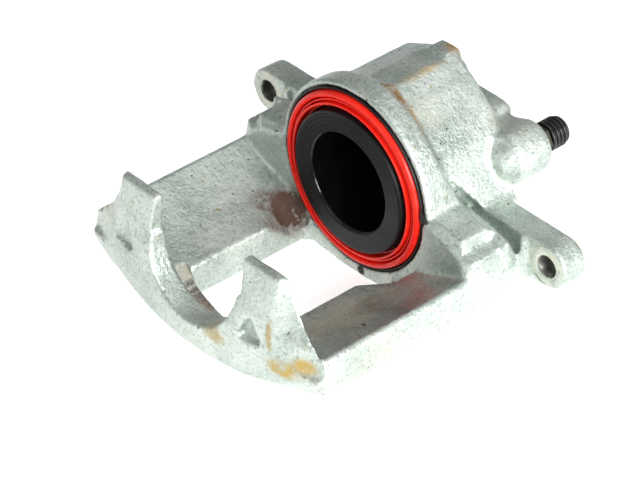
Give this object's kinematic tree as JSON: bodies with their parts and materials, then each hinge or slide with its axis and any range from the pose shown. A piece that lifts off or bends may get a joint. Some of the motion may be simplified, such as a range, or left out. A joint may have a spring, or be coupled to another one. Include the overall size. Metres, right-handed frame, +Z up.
{
  "type": "brake caliper",
  "caption": "Floating disc brake caliper: zinc plated cast body with bridge window, fingers and guide ears, black piston in a red dust boot, capped bleeder screw.",
  "frame": {"origin": "bottom centre of the bounding box, on the flat land under the bridge", "axes": "X runs from the left ear to the right ear, Y from the fingers to the closed end of the cylinder along the piston's axis, Z up, from the bridge to the finger tips"},
  "size_m": [0.177, 0.1588, 0.0844],
  "materials": {
    "zinc_plated_casting": "bright zinc plated sand casting, satin, lightly stained",
    "phenolic": "moulded phenolic, satin outside, glossy in the cup",
    "seal_rubber": "moulded, matt",
    "boot_rubber": "moulded red silicone rubber, satin",
    "black_steel": "black coated spring steel",
    "dark_plated_steel": "turned steel, dark passivated",
    "cap_rubber": "moulded black rubber, satin",
    "plug_plastic": "moulded polyethylene"
  },
  "bodies": {
    "caliper_body": {"caliper_housing": "zinc_plated_casting", "piston_seal": "seal_rubber", "dust_boot": "boot_rubber", "boot_retaining_ring": "black_steel"},
    "piston": {"piston": "phenolic"},
    "bleeder": {"bleeder_screw": "dark_plated_steel"},
    "bleeder_cap": {"bleeder_cap": "cap_rubber"},
    "inlet_plug": {"inlet_plug": "plug_plastic"}
  },
  "joints": [
    {"name": "piston_slide", "type": "slide", "parent": "caliper_body", "child": "piston", "axis": [0, -1, 0], "range_m": [0, 0.02], "deforming": ["dust_boot"]},
    {"name": "bleeder_turn", "type": "hinge", "parent": "caliper_body", "child": "bleeder", "pos_m": [0.0385, 0.06455, 0.0528], "axis": [0, 1, 0], "range_deg": [0, 360]},
    {"name": "cap_pull", "type": "slide", "parent": "bleeder", "child": "bleeder_cap", "axis": [0, 1, 0], "range_m": [0, 0.012]},
    {"name": "plug_pull", "type": "slide", "parent": "caliper_body", "child": "inlet_plug", "axis": [0, 1, 0], "range_m": [0, 0.012]}
  ]
}
